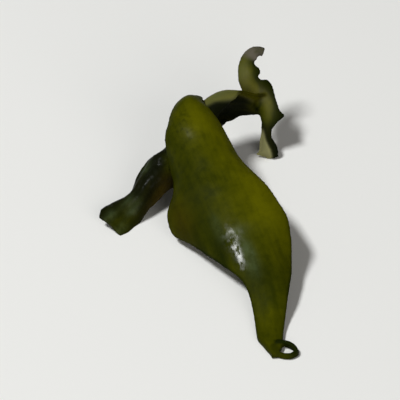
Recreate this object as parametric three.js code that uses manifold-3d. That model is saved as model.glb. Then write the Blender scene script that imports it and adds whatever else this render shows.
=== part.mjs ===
// One cut piece of wakame, the brown seaweed sold dried and eaten soaked, as it lies on a plate.
// It is a single sheet of the frond: a broad lobe that runs down to a curled tail, and behind it the
// base of the lobe, rolled up lengthwise, which carries the lobe's crest and ends in a frill.
// Millimetres, +Z up. The lobe's tail points to -Y. The origin lies on the surface that the piece
// rests on, under the middle of its box.

import * as THREE from "three";
import Module from "manifold-3d";
import { mergeVertices } from "three/addons/utils/BufferGeometryUtils.js";

const wasm = await Module();
wasm.setup();

const THICKNESS = 0.62; // the soaked sheet
const LEAST_HALF_WIDTH = 0.25; // a strip's end is cut this blunt

// The piece is made of four strips that grow into each other. Each has a spine and, by distance along
// it, the half widths of its left and right sides ("edges") and how it is held ("set"): its roll about
// the spine in degrees, and how sharply each side bends down, as one over the radius in mm. "across" is
// where its right side points at the start. Its margins ripple, by so much for each mm from the spine.

// The lobe, from its tail up to its crest and down the back of the roll, whose outer turn it is.
const LOBE = {
  spine: [
    [7.0, 0.0, 0.29], [6.85, 1.6, 0.29], [6.7, 3.2, 0.32], [6.5, 5.2, 0.85], [6.1, 7.3, 1.7],
    [5.3, 10.1, 2.8], [4.2, 13.3, 3.9], [3.1, 16.7, 4.9], [1.9, 20.2, 5.8], [0.9, 23.4, 6.6],
    [0.0, 26.4, 7.1], [-0.3, 27.9, 7.1], [-0.45, 28.8, 6.7], [-0.65, 29.2, 5.9], [-0.9, 29.1, 5.0],
    [-1.2, 29.0, 4.0], [-1.3, 28.9, 3.2], [-1.1, 28.6, 2.4],
  ],
  across: [1, 0, 0],
  edges: [
    [0.0, 0.3, 0.3], [1.2, 0.75, 0.75], [2.7, 1.15, 1.05], [5.3, 1.1, 1.6], [7.5, 1.25, 2.35],
    [9.0, 1.55, 2.95], [10.6, 2.25, 3.5], [12.4, 3.2, 4.05], [14.2, 4.3, 4.25], [16.0, 5.25, 4.0],
    [17.2, 5.8, 3.8], [18.2, 6.0, 3.6], [19.4, 5.7, 3.2], [21.7, 4.4, 2.55], [25.2, 3.3, 1.85], [27.2, 2.5, 1.4],
    [28.6, 1.7, 1.0], [29.8, 1.3, 0.9], [31.0, 1.2, 1.2], [33.0, 1.3, 1.8], [35.0, 1.1, 1.8],
  ],
  set: [
    [0, 0, 0, 0], [3.2, 0, 0, 0], [7, 12, 0.1, 0.1], [10, 14, 0.1, 0.08], [15, 8, 0.12, 0.06],
    [20, 4, 0.14, 0.06], [23.5, 0, 0.26, 0.1], [26, 0, 0.2, 0.2], [28, 0, 0.35, 0.4], [30.5, 0, 0.25, 0.3],
    [32, 10, 0.05, 0.05], [35, 20, 0, 0],
  ],
  ripple: { rise: 0.035, length: 6.5 },
  rows: 70,
  columns: 14,
};

// The roll, from its free end at the left to the frill: a sheet curled into a C, open below and in front.
const ROLL = {
  spine: [
    [-7.4, 17.3, 0.8], [-6.3, 19.2, 1.4], [-5.0, 21.3, 2.1], [-3.6, 23.1, 2.9], [-2.2, 25.0, 3.75],
    [-0.3, 27.9, 4.7], [2.2, 30.5, 5.2], [3.8, 31.1, 5.3], [5.4, 31.5, 5.15], [6.6, 31.8, 5.0],
  ],
  across: [0.87, -0.5, 0],
  edges: [
    [0, 1.2, 1.3], [0.8, 1.6, 1.7], [2, 1.75, 1.75], [4.5, 2.2, 2.2], [7, 2.6, 2.8], [10, 3.2, 3.2],
    [14, 3.3, 3.3], [17, 2.9, 2.7], [20, 2.2, 2.0],
  ],
  set: [
    [0, -25, 0.3, 0.3], [2, -15, 0.6, 0.6], [4.5, 0, 1.05, 1.05], [7, 5, 0.8, 0.8], [10, 30, 0.65, 0.65],
    [13, 60, 0.6, 0.6], [16, 70, 0.65, 0.65], [20, 70, 0.7, 0.6],
  ],
  ripple: { rise: 0.03, length: 5 },
  rows: 46,
  columns: 14,
};

// The frill, from its foot on the surface up past the roll's end to its tip.
const FRILL = {
  spine: [
    [7.5, 28.7, -0.15], [6.9, 29.6, 1.7], [7.2, 30.8, 3.2], [6.6, 31.6, 4.4], [5.8, 32.6, 5.2],
    [4.8, 33.4, 5.8], [4.7, 34.3, 6.5], [5.5, 35.0, 7.2],
  ],
  across: [1, 0, 0],
  edges: [
    [0, 0.3, 0.3], [1.7, 0.4, 0.5], [3.6, 0.7, 0.8], [5.1, 0.9, 0.8], [6.5, 0.9, 0.7], [7.7, 0.7, 0.7],
    [8.9, 0.7, 0.5], [10, 0.5, 0.5],
  ],
  set: [[0, 0, 0.2, 0.2], [3.6, 25, 0.4, 0.3], [5.5, -15, 0.3, 0.4], [7.7, 20, 0.3, 0.3], [10, 60, 0.2, 0.2]],
  ripple: { rise: 0.1, length: 4 },
  rows: 28,
  columns: 6,
};

// The curl at the lobe's tail, a narrow strip on edge that comes round to the tail again.
const CURL = {
  spine: [
    [6.9, 1.2, 0.4], [7.1, 0.3, 0.4], [7.7, -0.2, 0.4], [8.5, -0.2, 0.4], [9.0, 0.3, 0.4], [9.0, 1.0, 0.4],
    [8.5, 1.6, 0.45], [7.9, 1.9, 0.5], [7.2, 1.9, 0.5],
  ],
  across: [0, 0, 1],
  edges: [[0, 0.35, 0.3], [2, 0.4, 0.3], [4, 0.45, 0.45], [6.5, 0.25, 0.25]],
  set: [[0, 0, 0, 0], [3, 15, 0, 0], [5, -15, 0, 0], [7, 0, 0, 0]],
  ripple: { rise: 0, length: 1 },
  rows: 20,
  columns: 3,
};

// The values at s of smooth curves through the stations, each [distance along, value, value, ...].
// A slope is the harmonic mean of its neighbours', so that no curve overshoots its stations.
function valuesAt(stations, s) {
  const last = stations.length - 1;
  let i = 0;
  while (i < last - 1 && s > stations[i + 1][0]) i += 1;
  const [a, b] = [stations[i], stations[i + 1]];
  const gap = b[0] - a[0];
  const t = THREE.MathUtils.clamp((s - a[0]) / gap, 0, 1);
  const slope = (j, c) => (stations[j + 1][c] - stations[j][c]) / (stations[j + 1][0] - stations[j][0]);
  const tangent = (j, c) => {
    if (j === 0 || j === last) return 0;
    const [before, after] = [slope(j - 1, c), slope(j, c)];
    return before * after > 0 ? (2 * before * after) / (before + after) : 0;
  };
  return a.slice(1).map((from, n) => {
    const c = n + 1;
    return (
      from * (1 + 2 * t) * (1 - t) ** 2 +
      tangent(i, c) * gap * t * (1 - t) ** 2 +
      b[c] * t * t * (3 - 2 * t) +
      tangent(i + 1, c) * gap * t * t * (t - 1)
    );
  });
}

// How far a side reaches across and drops at distance d from the spine, for a bend of 1 / radius.
function bent(d, bend) {
  const reach = bend ? Math.sin(bend * Math.abs(d)) / bend : Math.abs(d);
  const drop = bend ? (1 - Math.cos(bend * d)) / bend : 0;
  return [Math.sign(d) * reach, drop];
}

// The middle surface of a strip, as rows of points from its start to its end.
function surfaceOf({ spine, across, edges, set, ripple, rows, columns }) {
  const path = new THREE.CatmullRomCurve3(spine.map((p) => new THREE.Vector3(...p)), false, "centripetal");
  const length = path.getLength();
  const side = new THREE.Vector3(...across);
  return Array.from({ length: rows + 1 }, (_, i) => {
    const at = path.getPointAt(i / rows);
    const heading = path.getTangentAt(i / rows);
    side.addScaledVector(heading, -side.dot(heading)).normalize();
    const s = (length * i) / rows;
    const [left, right] = valuesAt(edges, s).map((w) => Math.max(w, LEAST_HALF_WIDTH));
    const [roll, bendLeft, bendRight] = valuesAt(set, s);
    const right_ = side.clone().applyAxisAngle(heading, -THREE.MathUtils.degToRad(roll));
    const up = right_.clone().cross(heading);
    const phase = (2 * Math.PI * s) / ripple.length;
    return Array.from({ length: columns + 1 }, (_, j) => {
      const d = THREE.MathUtils.lerp(-left, right, j / columns);
      const [reach, drop] = bent(d, d < 0 ? bendLeft : bendRight);
      const lift = ripple.rise * Math.abs(d) * (d < 0 ? Math.sin(phase) : Math.cos(phase));
      return at.clone().addScaledVector(right_, reach).addScaledVector(up, lift - drop);
    });
  });
}

// The sheet of a strip: its middle surface thickened evenly, with both faces split alike.
function sheetOf(strip) {
  const grid = surfaceOf(strip);
  const [m, n] = [grid.length, grid[0].length];
  const clampRow = (i) => Math.min(Math.max(i, 0), m - 1);
  const clampColumn = (j) => Math.min(Math.max(j, 0), n - 1);
  const points = [];
  for (const face of [1, -1])
    grid.forEach((row, i) =>
      row.forEach((p, j) => {
        const along = grid[clampRow(i + 1)][j].clone().sub(grid[clampRow(i - 1)][j]);
        const across = row[clampColumn(j + 1)].clone().sub(row[clampColumn(j - 1)]);
        const normal = across.cross(along).normalize();
        points.push(p.clone().addScaledVector(normal, (face * THICKNESS) / 2));
      }),
    );
  const upper = (i, j) => i * n + j;
  const lower = (i, j) => m * n + upper(i, j);
  const index = [];
  const quad = (a, b, c, d) => index.push(a, b, c, a, c, d);
  for (let i = 0; i < m - 1; i += 1)
    for (let j = 0; j < n - 1; j += 1) {
      quad(upper(i, j), upper(i, j + 1), upper(i + 1, j + 1), upper(i + 1, j));
      quad(lower(i, j), lower(i + 1, j), lower(i + 1, j + 1), lower(i, j + 1));
    }
  for (let i = 0; i < m - 1; i += 1) {
    quad(lower(i, 0), upper(i, 0), upper(i + 1, 0), lower(i + 1, 0));
    quad(upper(i, n - 1), lower(i, n - 1), lower(i + 1, n - 1), upper(i + 1, n - 1));
  }
  for (let j = 0; j < n - 1; j += 1) {
    quad(upper(0, j), lower(0, j), lower(0, j + 1), upper(0, j + 1));
    quad(lower(m - 1, j), upper(m - 1, j), upper(m - 1, j + 1), lower(m - 1, j + 1));
  }
  return new THREE.BufferGeometry().setFromPoints(points).setIndex(index);
}

// A closed geometry as a manifold-3d solid, and back.
function solidOf(geometry) {
  const bare = geometry.clone().deleteAttribute("normal").deleteAttribute("uv");
  const merged = mergeVertices(bare, 1e-4);
  return new wasm.Manifold(
    new wasm.Mesh({
      numProp: 3,
      vertProperties: merged.attributes.position.array,
      triVerts: new Uint32Array(merged.index.array),
    }),
  );
}
function geometryOf(solid) {
  const { vertProperties, triVerts } = solid.getMesh();
  return new THREE.BufferGeometry()
    .setAttribute("position", new THREE.BufferAttribute(vertProperties, 3))
    .setIndex(new THREE.BufferAttribute(triVerts, 1));
}

// What lies below the surface that the piece rests on, which presses its lowest places flat.
function below() {
  const size = 100;
  return solidOf(new THREE.BoxGeometry(size, size, size).translate(0, 0, -size / 2));
}

const strips = [LOBE, ROLL, FRILL, CURL].map((strip) => solidOf(sheetOf(strip)));
const joined = strips.reduce((all, one) => all.add(one));
const geometry = geometryOf(joined.subtract(below()));
geometry.computeBoundingBox();
const middle = geometry.boundingBox.getCenter(new THREE.Vector3());
geometry.translate(-middle.x, -middle.y, -geometry.boundingBox.min.z);
geometry.computeVertexNormals();

const wakame = new THREE.Mesh(
  geometry,
  new THREE.MeshStandardMaterial({ color: 0x3a4210, roughness: 0.25, metalness: 0 }),
);
wakame.name = "wakame";

const part = new THREE.Group();
part.add(wakame);
export default part;
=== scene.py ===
import math

import bpy
import numpy as np
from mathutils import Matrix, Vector
from mathutils.kdtree import KDTree


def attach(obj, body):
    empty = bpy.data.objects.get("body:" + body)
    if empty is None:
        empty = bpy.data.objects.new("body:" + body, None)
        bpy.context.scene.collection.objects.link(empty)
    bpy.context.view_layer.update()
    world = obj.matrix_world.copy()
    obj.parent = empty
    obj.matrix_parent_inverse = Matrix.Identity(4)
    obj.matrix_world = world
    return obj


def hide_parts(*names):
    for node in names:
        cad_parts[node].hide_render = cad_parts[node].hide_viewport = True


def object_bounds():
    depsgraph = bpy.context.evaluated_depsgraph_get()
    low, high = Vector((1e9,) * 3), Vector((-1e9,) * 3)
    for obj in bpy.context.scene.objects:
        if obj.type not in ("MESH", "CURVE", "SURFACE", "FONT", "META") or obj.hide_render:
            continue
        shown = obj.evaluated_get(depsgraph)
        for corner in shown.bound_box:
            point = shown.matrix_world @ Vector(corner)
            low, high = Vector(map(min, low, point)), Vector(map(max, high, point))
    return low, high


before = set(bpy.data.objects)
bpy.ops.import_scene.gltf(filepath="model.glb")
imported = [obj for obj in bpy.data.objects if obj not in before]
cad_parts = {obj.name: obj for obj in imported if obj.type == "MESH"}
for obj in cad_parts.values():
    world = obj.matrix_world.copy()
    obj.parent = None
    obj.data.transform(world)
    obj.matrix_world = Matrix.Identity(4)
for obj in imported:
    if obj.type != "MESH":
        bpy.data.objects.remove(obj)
cad_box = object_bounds()

# ---- The wakame blade -----------------------------------------------------------------------------
# One torn piece of a soaked seaweed frond: a broad lobe folded over a crest, a strand rolled up behind
# it, a ragged frill and a small curled tail. It is jelly-like olive flesh, about half a millimetre
# thick, that grew as one body, so the four strips it is drawn as are joined into one mesh.

MM = 0.001
MIDDLE = np.array([0.4925, 17.4304, 0.0])   # the middle of the piece, in the strips' own lengths

# The strips, in millimetres. Each is a sheet along a "spine", and "across" is where its right side
# points at the start. The margins "ripple" by so much for each millimetre from the spine, in waves of
# a given length. The rest are stations, each with its distance along the spine and then:
#   edges    the left and right half widths
#   set      the roll in degrees, and how sharply each half bends down, as one over its radius
#   thick    the thickness in the middle and at the margins
#   crumple  the depth of the dents and of the creases
#   swell    how far the sheet bulges up
#   tuck     how far the left and right margins turn down
LOBE = {
    "spine": [
        [7.0, 0.0, 0.29], [6.85, 1.6, 0.29], [6.7, 3.2, 0.32], [6.5, 5.2, 0.85], [6.1, 7.3, 1.7],
        [5.3, 10.1, 2.8], [4.2, 13.3, 3.9], [3.1, 16.7, 4.9], [1.9, 20.2, 5.8], [0.9, 23.4, 6.6],
        [0.0, 26.4, 7.1], [-0.3, 27.9, 7.1], [-0.45, 28.8, 6.7], [-0.65, 29.2, 5.9],
        [-0.9, 29.1, 5.0], [-1.2, 29.0, 4.0], [-1.3, 28.9, 3.2], [-1.1, 28.6, 2.4]],
    "across": [1, 0, 0],
    "edges": [
        [0.0, 0.3, 0.3], [1.2, 0.75, 0.75], [2.7, 1.3, 1.0], [5.3, 1.3, 1.55], [7.5, 1.35, 2.3],
        [9.0, 1.55, 2.95], [10.6, 2.25, 3.5], [12.4, 3.2, 4.05], [14.2, 4.3, 4.25],
        [16.0, 5.35, 4.05], [17.2, 6.1, 3.9], [18.2, 6.5, 3.7], [19.3, 6.3, 3.35], [21.7, 4.75, 2.7],
        [25.2, 4.3, 2.4], [27.2, 3.55, 2.15], [28.6, 2.6, 1.75], [29.8, 1.9, 1.0], [31.0, 1.2, 1.2],
        [33.0, 1.1, 1.8], [35.0, 1.0, 1.8]],
    "set": [
        [0, 0, 0, 0], [3.2, 0, 0, 0], [7, 8, 0.14, 0.14], [10, 3, 0.14, 0.12],
        [12, 6.5, 0.15, 0.12], [14, 13, 0.15, 0.1], [17, 9, 0.14, 0.1], [19.5, 5, 0.13, 0.13],
        [21.5, 3, 0.19, 0.18], [23.5, 0, 0.27, 0.26], [25.2, 0, 0.27, 0.33], [27.2, 0, 0.24, 0.38],
        [28.6, 0, 0.3, 0.45], [30.5, 0, 0.35, 0.4], [32, 10, 0.05, 0.05], [35, 20, 0, 0]],
    "thick": [[0, 0.6, 0.5], [5, 0.6, 0.4], [9, 0.48, 0.26], [35, 0.46, 0.26]],
    "ripple": (0.035, 6.5),
    "crumple": [
        [0, 0, 0], [6, 0.012, 0], [12, 0.02, 0], [24, 0.02, 0], [28, 0.02, 0.02], [35, 0.1, 0.1]],
    "swell": [
        [0, 0], [6, 0], [9, -0.12], [14.5, 0.2], [19, 0.1], [24, 0.05], [28.6, 0.3], [31, 0.2], [34, 0]],
    "tuck": [
        [0, 0, 0], [6, 0.1, 0.1], [9, 0.12, 0.12], [12, 0.28, 0.2], [17, 0.4, 0.27], [19.5, 0.25, 0.3],
        [22.5, 0.45, 0.3], [26, 0.3, 0.3], [30, 0.1, 0.2], [35, 0, 0]],
}
ROLL = {
    "spine": [
        [-7.7, 17.7, 0.75], [-6.4, 19.2, 1.2], [-5.0, 20.75, 2.0], [-3.7, 22.75, 3.2],
        [-2.3, 25.0, 4.1], [-0.5, 28.2, 4.85], [1.1, 30.0, 5.5], [2.4, 30.8, 5.7], [3.8, 31.15, 5.55],
        [5.6, 31.55, 5.1], [6.5, 31.75, 4.9]],
    "across": [0.87, -0.5, 0],
    "edges": [
        [0, 1.3, 1.4], [0.8, 1.75, 1.8], [2, 1.85, 1.85], [3.8, 1.9, 1.9], [4.6, 2.1, 2.1],
        [7, 2.7, 2.8], [10, 3.2, 3.2], [14, 3.45, 3.3], [17, 3.2, 2.7], [18.4, 2.8, 2.2],
        [19.1, 2.5, 1.1], [19.9, 2.2, 0.6], [21, 2.0, 0.3], [22.5, 1.9, 0.25]],
    "set": [
        [0, -25, 0.3, 0.3], [2, -15, 0.55, 0.6], [4.2, 0, 0.82, 1.0], [7, 5, 0.5, 0.75],
        [10, 30, 0.65, 0.65], [13, 60, 0.6, 0.6], [16, 70, 0.65, 0.65], [20, 70, 0.7, 0.6]],
    "thick": [[0, 0.45, 0.3], [20, 0.45, 0.28]],
    "ripple": (0.03, 5),
    "crumple": [
        [0, 0.05, 0.1], [3, 0.05, 0.12], [6, 0.08, 0.16], [11, 0.06, 0.1], [14, 0.03, 0.04],
        [20, 0.03, 0.04]],
    "swell": [[0, 0], [20, 0]],
    "tuck": [[0, 0, 0], [20, 0, 0]],
}
FRILL = {
    "spine": [
        [7.5, 28.6, 0.15], [7.33, 28.9, 0.94], [6.91, 29.5, 1.7], [6.78, 30.1, 2.42],
        [6.88, 30.7, 3.35], [6.82, 31.2, 4.15], [6.4, 31.7, 4.84], [5.7, 32.2, 5.4],
        [5.12, 32.8, 5.8], [4.88, 33.5, 6.3], [4.85, 34.1, 6.8], [5.1, 34.7, 7.15],
        [5.6, 35.08, 7.38], [6.05, 35.16, 7.44], [6.4, 35.08, 7.42]],
    "across": [1, 0, 0],
    "edges": [
        [0, 0.7, 0.3], [0.6, 1.7, 0.38], [1.2, 1.4, 0.4], [1.9, 0.95, 0.3], [2.6, 0.62, 0.4],
        [3.2, 0.6, 0.7], [3.7, 0.75, 1.0], [4.1, 0.95, 1.5], [4.5, 1.1, 1.0], [4.95, 1.15, 0.9],
        [5.7, 1.15, 1.1], [6.3, 1.2, 1.35], [6.8, 1.3, 1.4], [7.25, 1.25, 0.95], [7.85, 1.0, 0.95],
        [8.6, 0.9, 1.25], [9.2, 0.85, 1.15], [9.7, 0.8, 0.75], [10.2, 0.78, 0.6], [10.6, 0.78, 0.65],
        [11.0, 0.75, 0.5], [11.5, 0.65, 0.25]],
    "set": [
        [0, 5, 0.15, 0.3], [2, 5, 0.2, 0.3], [3.6, 15, 0.3, 0.3], [5.5, -8, 0.3, 0.4],
        [7.7, 5, 0.2, 0.2], [9.4, -5, 0.2, 0.2], [11, -10, 0.1, 0.1]],
    "thick": [[0, 0.4, 0.25], [1.5, 0.32, 0.2], [3.5, 0.38, 0.22], [11, 0.4, 0.24]],
    "ripple": (0.08, 2.6),
    "crumple": [
        [0, 0, 0], [2, 0.03, 0.04], [5, 0.04, 0.12], [7, 0.04, 0.12], [9, 0.03, 0.06],
        [11, 0.03, 0.04]],
    "swell": [[0, 0], [10, 0]],
    "tuck": [[0, 0, 0], [10, 0, 0]],
}
CURL = {
    "spine": [
        [6.9, 1.2, 0.26], [7.1, 0.45, 0.26], [7.7, 0.1, 0.25], [8.4, 0.1, 0.25], [8.8, 0.45, 0.27],
        [8.75, 0.95, 0.32], [8.3, 1.4, 0.4], [7.75, 1.6, 0.42], [7.2, 1.65, 0.42]],
    "across": [0, 0, 1],
    "edges": [[0, 0.28, 0.28], [2, 0.25, 0.25], [4, 0.3, 0.28], [5.5, 0.26, 0.26], [6.5, 0.25, 0.25]],
    "set": [[0, 0, 0, 0], [3, 15, 0, 0], [5, -15, 0, 0], [7, 0, 0, 0]],
    "thick": [[0, 0.48, 0.4], [4, 0.46, 0.38], [7, 0.42, 0.36]],
    "ripple": (0, 1),
    "crumple": [[0, 0, 0], [7, 0, 0]],
    "swell": [[0, 0], [7, 0]],
    "tuck": [[0, 0, 0], [7, 0, 0]],
}
SPACING = 0.14             # between the points of a strip's surface
LEAST_HALF_WIDTH = 0.25
TUCK_WIDTH = 2.0           # of the margin that turns down
THIN_WIDTH = 1.2           # of the margin that gets thinner
CREASE_SPACING = 1.25
CREASE_POWER = 0.8         # under 1 rounds the creases' tops
CREASE_MEAN = 0.68         # taken off, so that the creases don't swell the sheet
VOXEL = 0.105              # of the mesh that joins the strips


def values_at(stations, s):
    """Smooth values between stations that never overshoot them, one row for each distance in s."""
    table = np.array(stations, float)
    at, values = table[:, 0], table[:, 1:]
    step = np.diff(at)[:, None]
    rate = np.diff(values, axis=0) / step
    tangent = np.zeros_like(values)
    before, after = rate[:-1], rate[1:]
    same_way = before * after > 0
    total = np.where(same_way, before + after, 1)
    tangent[1:-1] = np.where(same_way, 2 * before * after / total, 0)
    k = np.clip(np.searchsorted(at, s, side="right") - 1, 0, len(at) - 2)
    t = np.clip((s - at[k]) / (at[k + 1] - at[k]), 0, 1)[:, None]
    return (
        (2 * t**3 - 3 * t**2 + 1) * values[k]
        + (t**3 - 2 * t**2 + t) * step[k] * tangent[k]
        + (3 * t**2 - 2 * t**3) * values[k + 1]
        + (t**3 - t**2) * step[k] * tangent[k + 1]
    )


def path_of(points, steps=60):
    """A dense line along a centripetal Catmull-Rom curve through the points."""
    p = np.array(points, float)
    p = np.vstack([2 * p[0] - p[1], p, 2 * p[-1] - p[-2]])
    line = []
    for p0, p1, p2, p3 in zip(p, p[1:], p[2:], p[3:]):
        t0 = 0.0
        t1 = t0 + math.sqrt(np.linalg.norm(p1 - p0))
        t2 = t1 + math.sqrt(np.linalg.norm(p2 - p1))
        t3 = t2 + math.sqrt(np.linalg.norm(p3 - p2))
        t = np.linspace(t1, t2, steps, endpoint=False)[:, None]
        a1 = (t1 - t) / (t1 - t0) * p0 + (t - t0) / (t1 - t0) * p1
        a2 = (t2 - t) / (t2 - t1) * p1 + (t - t1) / (t2 - t1) * p2
        a3 = (t3 - t) / (t3 - t2) * p2 + (t - t2) / (t3 - t2) * p3
        b1 = (t2 - t) / (t2 - t0) * a1 + (t - t0) / (t2 - t0) * a2
        b2 = (t3 - t) / (t3 - t1) * a2 + (t - t1) / (t3 - t1) * a3
        line.append((t2 - t) / (t2 - t1) * b1 + (t - t1) / (t2 - t1) * b2)
    return np.vstack([*line, p[-2][None]])


def unit(v):
    return v / np.linalg.norm(v, axis=-1, keepdims=True)


chance = np.random.default_rng(7)
# The dents' waves: how long each one is, which way it runs over the sheet, and where it starts.
WAVES = [
    (chance.uniform(2.2, 5.5), chance.uniform(0, math.pi), chance.uniform(0, 6.3)) for _ in range(14)
]


def crumpled(s, d, depths):
    """How far the sheet stands off its smooth form: soft dents, and creases that run along it."""
    dents = sum(
        np.cos(2 * np.pi / length * (s * math.sin(way) + d * math.cos(way)) + start)
        for length, way, start in WAVES) / math.sqrt(len(WAVES) / 2)
    drift = 0.35 * np.sin(s / 1.9) + 0.25 * np.sin(s / 0.83 + d) + 0.2 * np.sin(s / 3.1 + 2 * d)
    creases = np.abs(np.sin(np.pi * (d / CREASE_SPACING + drift))) ** CREASE_POWER - CREASE_MEAN
    return depths[:, :1] * dents + depths[:, 1:] * creases


def surface_of(strip):
    """The middle surface of a strip: its grid of points, with how far along it and to the right of its
    spine each one is, how far it is from the margin, and how thick the sheet is there."""
    line = path_of(strip["spine"])
    run = np.concatenate([[0], np.cumsum(np.linalg.norm(np.diff(line, axis=0), axis=1))])
    s = np.linspace(0, run[-1], int(run[-1] / SPACING) + 1)
    at = np.stack([np.interp(s, run, line[:, k]) for k in range(3)], axis=1)
    heading = unit(np.gradient(at, axis=0))
    side = np.array(strip["across"], float)
    sides = []
    for h in heading:
        side = side - side.dot(h) * h
        side = side / np.linalg.norm(side)
        sides.append(side)
    sides = np.array(sides)
    roll, bend_left, bend_right = values_at(strip["set"], s).T
    turn = np.radians(roll)[:, None]
    right_way = sides * np.cos(turn) + np.cross(sides, heading) * np.sin(turn)
    up = np.cross(right_way, heading)

    left, right = np.maximum(values_at(strip["edges"], s), LEAST_HALF_WIDTH).T
    t = np.linspace(0, 1, int((left + right).max() / SPACING) + 1)
    d = -left[:, None] * (1 - t) + right[:, None] * t
    margin = np.where(d < 0, d + left[:, None], right[:, None] - d)
    bend = np.maximum(np.where(d < 0, bend_left[:, None], bend_right[:, None]), 1e-6)
    reach = np.sin(bend * d) / bend
    drop = (1 - np.cos(bend * d)) / bend
    rise, wave = strip["ripple"]
    phase = 2 * np.pi * s[:, None] / wave
    lift = rise * np.abs(d) * np.where(d < 0, np.sin(phase), np.cos(phase))
    lift = lift + crumpled(s[:, None], d, values_at(strip["crumple"], s))
    lift = lift + values_at(strip["swell"], s)
    tuck_left, tuck_right = values_at(strip["tuck"], s).T
    tuck = np.where(d < 0, tuck_left[:, None], tuck_right[:, None])
    lift = lift - tuck * np.clip(1 - margin / TUCK_WIDTH, 0, 1) ** 2
    grid = at[:, None] + right_way[:, None] * reach[..., None] + up[:, None] * (lift - drop)[..., None]

    middle, edge = values_at(strip["thick"], s).T
    full = np.clip(margin / THIN_WIDTH, 0, 1)
    thick = edge[:, None] + (middle - edge)[:, None] * full * (2 - full)
    return grid, np.broadcast_to(s[:, None], d.shape), d, margin, thick


def sheet_of(grid, thick):
    """A closed sheet round a grid of points, as vertices and quads."""
    normal = unit(np.cross(np.gradient(grid, axis=1), np.gradient(grid, axis=0)))
    half = normal * thick[..., None] / 2
    points = np.concatenate([(grid + half).reshape(-1, 3), (grid - half).reshape(-1, 3)])
    n = np.arange(thick.size).reshape(thick.shape)
    top = np.stack([n[:-1, :-1], n[:-1, 1:], n[1:, 1:], n[1:, :-1]], -1).reshape(-1, 4)
    below = top[:, ::-1] + thick.size
    rim = np.concatenate([n[0, :], n[1:, -1], n[-1, -2::-1], n[-2:0:-1, 0]])
    after = np.roll(rim, -1)
    wall = np.stack([rim + thick.size, after + thick.size, after, rim], -1)
    return points, np.concatenate([top, below, wall])


def object_of(name, points, faces):
    """A new object in the scene, with a mesh of these points and faces."""
    mesh = bpy.data.meshes.new(name)
    mesh.from_pydata(points.tolist(), [], faces.tolist())
    mesh.validate()
    made = bpy.data.objects.new(name, mesh)
    bpy.context.scene.collection.objects.link(made)
    return made


def apply_modifiers(thing):
    """Makes what an object's modifiers give its own plain mesh."""
    mesh = bpy.data.meshes.new_from_object(
        thing.evaluated_get(bpy.context.evaluated_depsgraph_get()))
    thing.modifiers.clear()
    thing.data = mesh
    return mesh


surfaces = [surface_of(strip) for strip in (LOBE, ROLL, FRILL, CURL)]
sheet_points, sheet_faces, count = [], [], 0
for grid, _, _, _, thick in surfaces:
    points, faces = sheet_of(grid, thick)
    sheet_points.append(points)
    sheet_faces.append(faces + count)
    count += len(points)
wakame = object_of("wakame_blade", np.vstack(sheet_points), np.vstack(sheet_faces))
join = wakame.modifiers.new("join the strips", "REMESH")
join.mode = "VOXEL"
join.voxel_size = VOXEL
join.adaptivity = 0
blade = apply_modifiers(wakame)

co = np.empty(len(blade.vertices) * 3, np.float32)
blade.vertices.foreach_get("co", co)
co = co.reshape(-1, 3).astype(float)
edges = np.empty(len(blade.edges) * 2, np.int32)
blade.edges.foreach_get("vertices", edges)
edges = edges.reshape(-1, 2)


def spread(values, times, share=0.5):
    """Each value moves towards the mean of its neighbours on the mesh."""
    near = np.bincount(edges.ravel(), minlength=len(values))[:, None]
    for _ in range(times):
        total = np.zeros_like(values)
        for k in range(values.shape[1]):
            total[:, k] = np.bincount(edges[:, 0], values[edges[:, 1], k], len(values))
            total[:, k] += np.bincount(edges[:, 1], values[edges[:, 0], k], len(values))
        values = values + share * (total / near - values)
    return values


# The voxels' steps are smoothed away: each pass in is followed by one out, which keeps the size.
for _ in range(3):
    co = spread(co, 1, 0.6)
    co = spread(co, 1, -0.62)

# Where each point of the mesh lies on its nearest strip: how far to the right of the spine and along
# it, and how far the strip's noise is from the others'.
BLEND = 0.4                # how far one strip's flesh runs into the next one's
RIM_WIDTH = 1.3            # of the margin that light passes through
NOISE_STEP = 20.0
nearest = np.full(len(co), 1e9)
strip_at = np.zeros(len(co), int)
place = np.zeros((len(co), 3))
thin = np.zeros((len(co), 1))
share = np.zeros((len(co), len(surfaces)))
for number, (grid, s, d, margin, _) in enumerate(surfaces):
    flat = grid.reshape(-1, 3)
    tree = KDTree(len(flat))
    for k, point in enumerate(flat.tolist()):
        tree.insert(point, k)
    tree.balance()
    found = [tree.find(point)[1:] for point in co.tolist()]
    index = np.array([f[0] for f in found])
    distance = np.array([f[1] for f in found])
    off = co - flat[index]
    along = unit(np.gradient(grid, axis=0)).reshape(-1, 3)[index]
    across = unit(np.gradient(grid, axis=1)).reshape(-1, 3)[index]
    share[:, number] = np.exp(-((distance / BLEND) ** 2)) + 1e-9
    here = np.stack([
        d.ravel()[index] + (off * across).sum(1), s.ravel()[index] + (off * along).sum(1),
        np.full(len(co), NOISE_STEP * number)], 1)
    near_margin = np.clip(1 - margin.ravel()[index] / RIM_WIDTH, 0, 1)[:, None]
    nearer = distance < nearest
    nearest[nearer] = distance[nearer]
    strip_at[nearer] = number
    place[nearer] = here[nearer]
    thin[nearer] = near_margin[nearer]
share = spread(share / share.sum(1, keepdims=True), 6)
thin = spread(thin, 4)
d, s = place[:, 0], place[:, 1]
on_lobe, on_roll, on_frill, on_curl = (strip_at == number for number in range(len(surfaces)))


def slope(values, low, high):
    """0 below low, 1 above high, and smooth in between."""
    t = np.clip((values - low) / (high - low), 0, 1)
    return t * t * (3 - 2 * t)


def patches(*rows):
    """The sum of soft-edged ovals. Each has its weight, its strip, its place along the strip and to
    the right of the spine, and its half length and half width."""
    return sum(
        weight * np.exp(-(((s - at_s) / length) ** 2) - ((d - at_d) / width) ** 2) * strip
        for weight, strip, at_s, at_d, length, width in rows)


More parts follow.
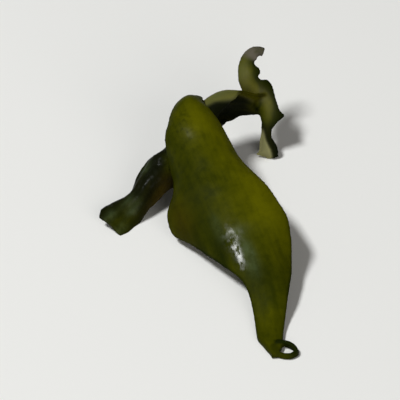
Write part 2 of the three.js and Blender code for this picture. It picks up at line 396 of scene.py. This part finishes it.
# The strand's upper lip gets painted light, up to its far end, where it runs into the frill. The frill
# stands on a dark leg with a film at its left that is painted pale as light, and has painted shade along a
# fold, painted shade on its right side and a hook at its top.
far_end = on_roll * slope(d + 0.6 * (s - 20), -0.35, 0.35) * slope(s, 18.5, 19.3)
lip = on_roll * slope(s - 15.4 - 3.5 * (d - 1.8), -1.2, 1.2) * slope(d, 0.2, 1.0) * slope(s, 12.5, 14.5)
lip = np.maximum(lip, far_end)
pale_lit_film = on_frill * slope(-d, 0.25, 0.4) * slope(-s, -3.0, -2.2)
leg = on_frill * (1 - pale_lit_film) * slope(-s, -3.8, -2.6) + patches((0.8, on_frill, 4.1, 1.15, 0.5, 0.35))
# Painted shade along the frill's fold and on its right side.
fold_shade = np.exp(-(((d - 0.4 - 0.9 * (s - 6.6)) / 0.26) ** 2)) * slope(s, 4.7, 5.2) * slope(-s, -7.6, -7.0)
right_side_shade = slope(d, 0.4, 0.7) * slope(s, 2.5, 3.5)
# Painted light, pale, on the lit lip and on the frill's middle and neck.
pale = 0.22 * lip * (1 - far_end) + patches(
    (0.18, on_frill, 5.6, 0.1, 1.6, 0.45),
    (0.2, on_frill, 8.6, -0.3, 1.2, 0.6),
)
masks = {
    "rolled": (
        share[:, 1] * (1 - lip) * (1 - patches((0.6, on_roll, 0.5, 0.8, 2.2, 1.6))) + 0.8 * leg),
    # Painted light: the strand's lit lip, the film, the lobe's right side as lit through, its crest as lit
    # from above, and the frill's lit middle and neck.
    "painted_light": pale_lit_film + (1.2 - 0.7 * far_end) * lip + patches(
        (1.3, on_lobe, 17.5, 2.9, 6, 1.9),
        (0.2, on_lobe, 21, 0.2, 4, 1.4),
        (0.8, on_lobe, 27, 0.3, 2.8, 2.2),
        (0.3, on_lobe, 4, 0, 3.5, 0.8),
        (0.35, on_lobe, 9, 2.0, 3, 0.7),
        (1.3, on_frill, 5.9, -0.05, 1.8, 0.5),
        (1.0, on_frill, 8.6, -0.3, 1.3, 0.7),
    ),
    # Painted shade on the lobe's left side, below its knee and by its highlight, in the strand's hollow,
    # and on the frill's right side and fold; the leg, the curl and the hook's end are darker too.
    "dark_and_shade": 0.7 * on_curl * slope(s, 1.5, 3) + on_frill * (
        (1 - pale_lit_film) * (1 - 0.9 * slope(s, 2.6, 4.2)) + 0.9 * right_side_shade + 1.2 * fold_shade
        + 0.7 * slope(s, 10.8, 11.3)
    ) + patches(
        (0.75, on_lobe, 19.5, -3.0, 5.5, 1.6),
        (0.85, on_lobe, 9.2, 0.0, 2.4, 1.6),
        (0.9, on_lobe, 13.0, -2.4, 2.2, 0.9),
        (0.25, on_lobe, 27, -2.8, 3.5, 1.0),
        (0.5, on_lobe, 10.4, 2.4, 2.2, 0.8),
        (0.5, on_lobe, 14.5, -4.2, 3, 0.8),
        (0.4, on_lobe, 8, 2.0, 1.6, 0.6),
        (0.8, on_roll * (1 - lip), 17, 1, 4, 4),
        (0.7, on_roll, 21.4, 0.2, 0.35, 0.6),
        (0.75, on_frill, 4.3, 0.75, 1.4, 0.5),
        (0.5, on_frill, 9.9, 0.4, 0.5, 0.5),
    ),
    "brown": 0.5 * far_end + patches(
        (0.8, on_lobe, 18, -5.0, 2.4, 1.3),
        (0.9, on_roll, 5.4, 1.8, 1.7, 0.65),
        (0.6, on_frill, 7.4, -0.5, 1.3, 0.9),
    ),
    # The film, the lit lip and the frill's lit parts, all painted pale as light.
    "pale_lit_film": np.maximum(pale_lit_film, pale),
    # A painted grey highlight on the frill's tip.
    "tip_highlight": on_frill * slope(s, 9.9, 10.6) * (1 - 0.45 * slope(s, 10.9, 11.4)),
    "sheen": patches((1, on_lobe, 12.4, -1.15, 1.6, 1.05)),
    # Painted sheen: grey-green glints beside the lobe's wet highlight, on the strand's top and end, and on
    # the frill.
    "painted_sheen": patches(
        (1.0, on_lobe, 11.2, -0.3, 1.8, 0.55),
        (0.4, on_lobe, 15.2, -1.9, 1.3, 0.45),
        (0.4, on_lobe, 13.9, -0.6, 0.5, 1.0),
        (0.6, on_roll, 17.0, 1.4, 1.5, 0.4),
        (0.6, on_roll, 6.9, -1.0, 0.8, 0.4),
        (0.8, on_roll, 2.7, 0.4, 0.8, 0.35),
        (0.5, on_roll, 3.0, -0.4, 0.8, 0.3),
        (0.6, on_roll, 0.7, -0.5, 0.8, 0.35),
        (0.6, on_roll, 0.4, 0.9, 0.8, 0.35),
        (0.35, on_frill, 9.0, -0.4, 0.8, 0.4),
    ),
    "pits": patches((1, on_lobe, 26.8, -1.6, 2.4, 1.0)),
}
softened = spread(np.stack(list(masks.values()), 1), 4).clip(0, 1)


def store(name, kind, field, values):
    """Keeps one value for each point on the mesh, for the nodes to read by name."""
    layer = blade.attributes.new(name, kind, "POINT")
    layer.data.foreach_set(field, np.ascontiguousarray(values, dtype=np.float32).ravel())


blade.vertices.foreach_set("co", ((co - MIDDLE) * MM).astype(np.float32).ravel())
store("blade", "FLOAT_VECTOR", "vector", place)
store("thin", "FLOAT", "value", thin)
for name, values in zip(masks, softened.T):
    store(name, "FLOAT", "value", values)
blade.update()


class Link:
    """A node's output, or a tree of nodes to start from. Arithmetic on it adds Math nodes."""

    def __init__(self, tree, socket=None):
        self.tree = tree
        self.socket = socket

    def node(self, kind, settings=None, inputs=None, output=0):
        """Adds a node: its settings first, then its sockets' values or links."""
        node = self.tree.nodes.new(kind)
        for name, value in (settings or {}).items():
            setattr(node, name, value)
        for key, value in (inputs or {}).items():
            socket = node.inputs[key] if isinstance(key, int) else self.open_socket(node.inputs, key)
            if isinstance(value, Link):
                self.tree.links.new(value.socket, socket)
            else:
                socket.default_value = value
        if not len(node.outputs):
            return None
        found = node.outputs[output] if isinstance(output, int) else self.open_socket(node.outputs, output)
        return Link(self.tree, found)

    @staticmethod
    def open_socket(sockets, name):
        return [socket for socket in sockets if socket.name == name and socket.enabled][0]

    def beside(self, name):
        """Another output of the same node."""
        return Link(self.tree, self.socket.node.outputs[name])

    def math(self, operation, *values):
        return self.node("ShaderNodeMath", {"operation": operation}, dict(enumerate(values)))

    def __add__(self, other):
        return self.math("ADD", self, other)

    def __radd__(self, other):
        return self.math("ADD", other, self)

    def __sub__(self, other):
        return self.math("SUBTRACT", self, other)

    def __rsub__(self, other):
        return self.math("SUBTRACT", other, self)

    def __mul__(self, other):
        return self.math("MULTIPLY", self, other)

    def __rmul__(self, other):
        return self.math("MULTIPLY", other, self)

    def clamped(self):
        return self.node("ShaderNodeClamp", None, {"Value": self})

    def between(self, low, high):
        """0 below low, 1 above high, and smooth in between."""
        return self.node(
            "ShaderNodeMapRange", {"interpolation_type": "SMOOTHSTEP"},
            {"Value": self, "From Min": low, "From Max": high})

    def scaled(self, size):
        return self.node("ShaderNodeVectorMath", {"operation": "MULTIPLY"}, {0: self, 1: size})

    def vector(self, x, y, z):
        return self.node("ShaderNodeCombineXYZ", None, {"X": x, "Y": y, "Z": z})

    def noise(self, scale, detail, rough, seed):
        return self.node(
            "ShaderNodeTexNoise", {"noise_dimensions": "4D"},
            {"Vector": self, "Scale": scale, "Detail": detail, "Roughness": rough, "W": seed})

    def mix(self, first, second, factor):
        """A blend of two colours, each given as numbers or as a link."""
        return self.node(
            "ShaderNodeMix", {"data_type": "RGBA"}, {"Factor": factor, "A": first, "B": second}, "Result")

    def mixed(self, other, factor):
        """This colour, blended with another."""
        return self.mix(self, other, factor)


# Geometry Nodes push the surface in and out: fine wrinkles all over, and deeper ones on the strand.
TO_MM = (1000, 1000, 1000)
wrinkles = bpy.data.node_groups.new("fine wrinkles", "GeometryNodeTree")
for name, way, kind in (
    ("Geometry", "INPUT", "NodeSocketGeometry"),
    ("Wrinkle depth", "INPUT", "NodeSocketFloat"),
    ("Roll depth", "INPUT", "NodeSocketFloat"),
    ("Seed", "INPUT", "NodeSocketFloat"),
    ("Flesh", "INPUT", "NodeSocketMaterial"),
    ("Geometry", "OUTPUT", "NodeSocketGeometry"),
):
    wrinkles.interface.new_socket(name, in_out=way, socket_type=kind)
tree = Link(wrinkles)


def named(name, kind):
    return tree.node("GeometryNodeInputNamedAttribute", {"data_type": kind}, {"Name": name}, "Attribute")


given = tree.node("NodeGroupInput")
seed = given.beside("Seed")
spot = tree.node("GeometryNodeInputPosition")
dents = spot.scaled(TO_MM).noise(1.1, 2.0, 0.5, seed) - 0.5
folds = named("blade", "FLOAT_VECTOR").scaled((2.2, 0.45, 1)).noise(1.0, 2.0, 0.55, seed) - 0.5
dimples = spot.scaled(TO_MM).noise(2.4, 1.0, 0.5, seed) - 0.5
height = (dents * 1.2 + folds * 0.8 + dimples * 0.4) * given.beside("Wrinkle depth")
height = height + (folds + dimples) * named("rolled", "FLOAT") * given.beside("Roll depth")
moved = tree.node("ShaderNodeVectorMath", {"operation": "MULTIPLY_ADD"}, {
    0: tree.node("GeometryNodeInputNormal"), 1: tree.vector(height, height, height), 2: spot})
part = tree.node("ShaderNodeSeparateXYZ", None, {"Vector": moved})
above_floor = tree.math("MAXIMUM", part.beside("Z"), 0.0)
shaped = tree.node("GeometryNodeSetPosition", None, {
    "Geometry": given, "Position": tree.vector(part, part.beside("Y"), above_floor)})
real = tree.node("GeometryNodeRealizeInstances", None, {"Geometry": shaped})
dressed = tree.node("GeometryNodeSetMaterial", None, {
    "Geometry": real, "Material": given.beside("Flesh")})
tree.node("NodeGroupOutput", None, {"Geometry": dressed})

# The flesh: olive, with painted light where light comes through it, painted shade where it turns from the
# light, nearly black where it is rolled up, and wet.
# DEEP is dark flesh, and also the colour of the painted shade.
DEEP = (0.009, 0.013, 0.0004, 1)
OLIVE = (0.031, 0.0365, 0.0003, 1)
PAINTED_LIGHT_OLIVE = (0.115, 0.113, 0.0006, 1)
BROWN = (0.036, 0.026, 0.002, 1)
ROLL_DARK = (0.0034, 0.0042, 0.0018, 1)
ROLL_STREAK = (0.0115, 0.011, 0.002, 1)
ROLL_BROWN = (0.075, 0.05, 0.004, 1)
PALE_PAINTED_LIGHT = (0.44, 0.42, 0.2, 1)
PAINTED_SHEEN_TINT = (0.072, 0.1, 0.04, 1)
PAINTED_TIP_HIGHLIGHT = (0.13, 0.112, 0.088, 1)       # a painted greyish highlight on the tip of the frill
LIT_THROUGH = (0.30, 0.30, 0.005, 1)
RELIEF = 0.09 * MM
flesh = bpy.data.materials.new("wet olive flesh")
flesh.use_nodes = True
flesh.node_tree.nodes.clear()
tree = Link(flesh.node_tree)


def attribute(name, output="Fac"):
    return tree.node("ShaderNodeAttribute", {"attribute_name": name}, None, output)


here = tree.node("ShaderNodeTexCoord", None, None, "Object")
here = tree.node("ShaderNodeMapping", None, {
    "Vector": here, "Rotation": (0.6, 0.4, 0.9), "Scale": TO_MM})
on_blade = attribute("blade", "Vector")
in_thin, in_roll, in_painted_light, in_dark_and_shade, in_brown, in_pale_painted_light, in_tip_highlight, in_sheen, in_painted_sheen, in_pits = (
    attribute(name) for name in (
        "thin", "rolled", "painted_light", "dark_and_shade", "brown", "pale_lit_film", "tip_highlight", "sheen", "painted_sheen", "pits"))
# Painted shade along the margins, where the sheet curls down.
rim = in_thin.between(0.7, 1.0)
cloud = here.noise(0.35, 3.0, 0.55, 1.0)
mottle = here.noise(1.3, 3.0, 0.6, 4.0)
speck = here.noise(7.0, 2.0, 0.6, 9.0)
pit = here.noise(2.3, 1.0, 0.5, 21.0)
streak = on_blade.scaled((1.7, 0.22, 1)).noise(1.0, 3.0, 0.6, 2.0)
wet_patch = on_blade.scaled((2.3, 1.1, 1)).noise(1.0, 2.0, 0.6, 11.0)

# Its colour: painted light where it is thin and lit through and where it faces up, painted shade in its
# folds, at its rim and on sides turned from the light, black in the roll, with painted sheen and a painted
# highlight.
lighter = cloud.between(0.35, 0.7) * 0.25 + in_painted_light * 0.8 + (mottle - 0.5) * 0.6 + (streak - 0.5) * 0.6
darker = in_dark_and_shade * 0.85 + rim * 0.55 + in_pits * pit.between(0.52, 0.62) * 0.35
darker = darker + (0.5 - streak).between(0.0, 0.25) * 0.1 + (0.45 - mottle).between(0, 0.12) * 0.08
darker = darker + (speck - 0.62).between(0, 0.1) * 0.15
colour = tree.mix(OLIVE, PAINTED_LIGHT_OLIVE, lighter.clamped())
colour = colour.mixed(DEEP, darker.clamped())
colour = colour.mixed(BROWN, in_brown * 0.75)
roll_colour = tree.mix(ROLL_DARK, ROLL_STREAK, streak.between(0.48, 0.7)).mixed(ROLL_BROWN, in_brown)
colour = colour.mixed(roll_colour, in_roll * 0.94)
# The film, the strand's lit lip and the frill's lit parts, painted pale as light.
colour = colour.mixed(PALE_PAINTED_LIGHT, in_pale_painted_light * 0.85)
# Painted sheen, grey-green, beside the wet highlight and on the strand.
colour = colour.mixed(PAINTED_SHEEN_TINT, in_painted_sheen * (mottle.between(0.3, 0.65) * 0.5 + 0.3))
# A painted greyish highlight on the frill's tip.
colour = colour.mixed(PAINTED_TIP_HIGHLIGHT, in_tip_highlight * (mottle.between(0.3, 0.6) * 0.4 + 0.5))

# Its surface: a soft gloss, a broken wet highlight in one patch, and light let through from behind.
roughness = 0.32 + in_dark_and_shade * 0.2 + mottle * 0.18 + speck * 0.08
bumps = here.noise(2.2, 2.0, 0.5, 5.0) * 0.6 + here.noise(5.5, 2.0, 0.55, 6.0) * 0.35 + wet_patch * 0.8
bumps = bumps * (0.12 + in_sheen * 1.8 + in_roll * 0.6)
relief = tree.node("ShaderNodeBump", None, {"Strength": 1.0, "Distance": RELIEF, "Height": bumps})
wet = 0.035 + in_sheen * wet_patch.between(0.38, 0.59) + (mottle - 0.5) * 0.12
wet = wet - in_thin * 0.12 - in_dark_and_shade * 0.12 + in_roll * 0.035
gloss = tree.node("ShaderNodeBsdfPrincipled", None, {
    "Base Color": colour, "Roughness": roughness.clamped(), "IOR": 1.38, "Specular IOR Level": 0.03,
    "Coat Weight": wet.clamped(), "Coat IOR": 1.4, "Coat Roughness": 0.2, "Normal": relief})
glow = tree.node("ShaderNodeBsdfTranslucent", None, {"Color": LIT_THROUGH, "Normal": relief})
see_through = 0.09 + in_thin * 0.12 + in_painted_light * 0.15 + in_pale_painted_light * 0.25 + in_brown * 0.2
see_through = see_through * (1 - in_roll * 0.5) * (1 - rim * 0.5) * (1 - in_dark_and_shade * 0.75)
body = tree.node("ShaderNodeMixShader", None, {0: see_through.clamped(), 1: gloss, 2: glow})
tree.node("ShaderNodeOutputMaterial", None, {"Surface": body})

wrinkling = wakame.modifiers.new("fine wrinkles", "NODES")
wrinkling.node_group = wrinkles
given_values = {"Wrinkle depth": 0.03 * MM, "Roll depth": 0.09 * MM, "Seed": 3.0, "Flesh": flesh}
for item in wrinkles.interface.items_tree:
    if item.in_out == "INPUT" and item.name in given_values:
        wrinkling[item.identifier] = given_values[item.name]
blade = apply_modifiers(wakame)
for polygon in blade.polygons:
    polygon.use_smooth = True
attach(wakame, "root")
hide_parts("wakame")

# ---- The floor ------------------------------------------------------------------------------------
# A sheet of plain pale card, far larger than the blade.
# The blade lies loose on it, on its tail, the strand's free end and the frill's foot.
HALF_FLOOR = 1.5
PALE = (0.86, 0.85, 0.82, 1)
corners = np.array([(-1, -1, 0), (1, -1, 0), (1, 1, 0), (-1, 1, 0)]) * HALF_FLOOR
floor = object_of("floor", corners, np.array([(0, 1, 2, 3)]))
card = bpy.data.materials.new("pale card")
card.use_nodes = True
card_inputs = card.node_tree.nodes["Principled BSDF"].inputs
card_inputs["Base Color"].default_value = PALE
card_inputs["Roughness"].default_value = 0.9
floor.data.materials.append(card)

# ---- The light ------------------------------------------------------------------------------------
# A small softbox above and to the left, which makes the wet highlight, a wide soft fill in front at
# the right, and a dim even surround.


def softbox(name, place, size, watts, colour):
    """An oval lamp that faces the blade."""
    data = bpy.data.lights.new(name, "AREA")
    data.shape = "ELLIPSE"
    data.size, data.size_y = size
    data.energy = watts
    data.color = colour
    lamp = bpy.data.objects.new(name, data)
    lamp.location = place
    lamp.rotation_euler = (-Vector(place)).to_track_quat("-Z", "Y").to_euler()
    bpy.context.scene.collection.objects.link(lamp)


softbox("key", (-0.31, -0.06, 0.57), (0.22, 0.12), 3.6, (0.97, 0.99, 1.0))
softbox("fill", (0.25, -0.58, 0.25), (0.5, 0.5), 1.8, (1.0, 0.98, 0.95))
world = bpy.data.worlds.new("surround")
world.use_nodes = True
surround = world.node_tree.nodes["Background"].inputs
surround["Color"].default_value = (1, 1, 1, 1)
surround["Strength"].default_value = 0.08
bpy.context.scene.world = world
bpy.context.scene.view_settings.view_transform = "Standard"

# ---- The camera -----------------------------------------------------------------------------------
# A long lens, close in front of the blade, that looks down at its middle. It has no depth of
# field, and the blade fills most of its picture.
ELEVATION = math.radians(38)
DISTANCE = 0.30
low, high = cad_box
aim = Vector((0, 0, (low.z + high.z) / 2))
back = Vector((0, -math.cos(ELEVATION), math.sin(ELEVATION)))
camera_data = bpy.data.cameras.new("camera")
camera_data.lens = 300
camera_data.clip_start = 0.01
camera_data.clip_end = 10
camera = bpy.data.objects.new("camera", camera_data)
camera.location = aim + back * DISTANCE
camera.rotation_euler = (-back).to_track_quat("-Z", "Y").to_euler()
bpy.context.scene.collection.objects.link(camera)
bpy.context.scene.camera = camera
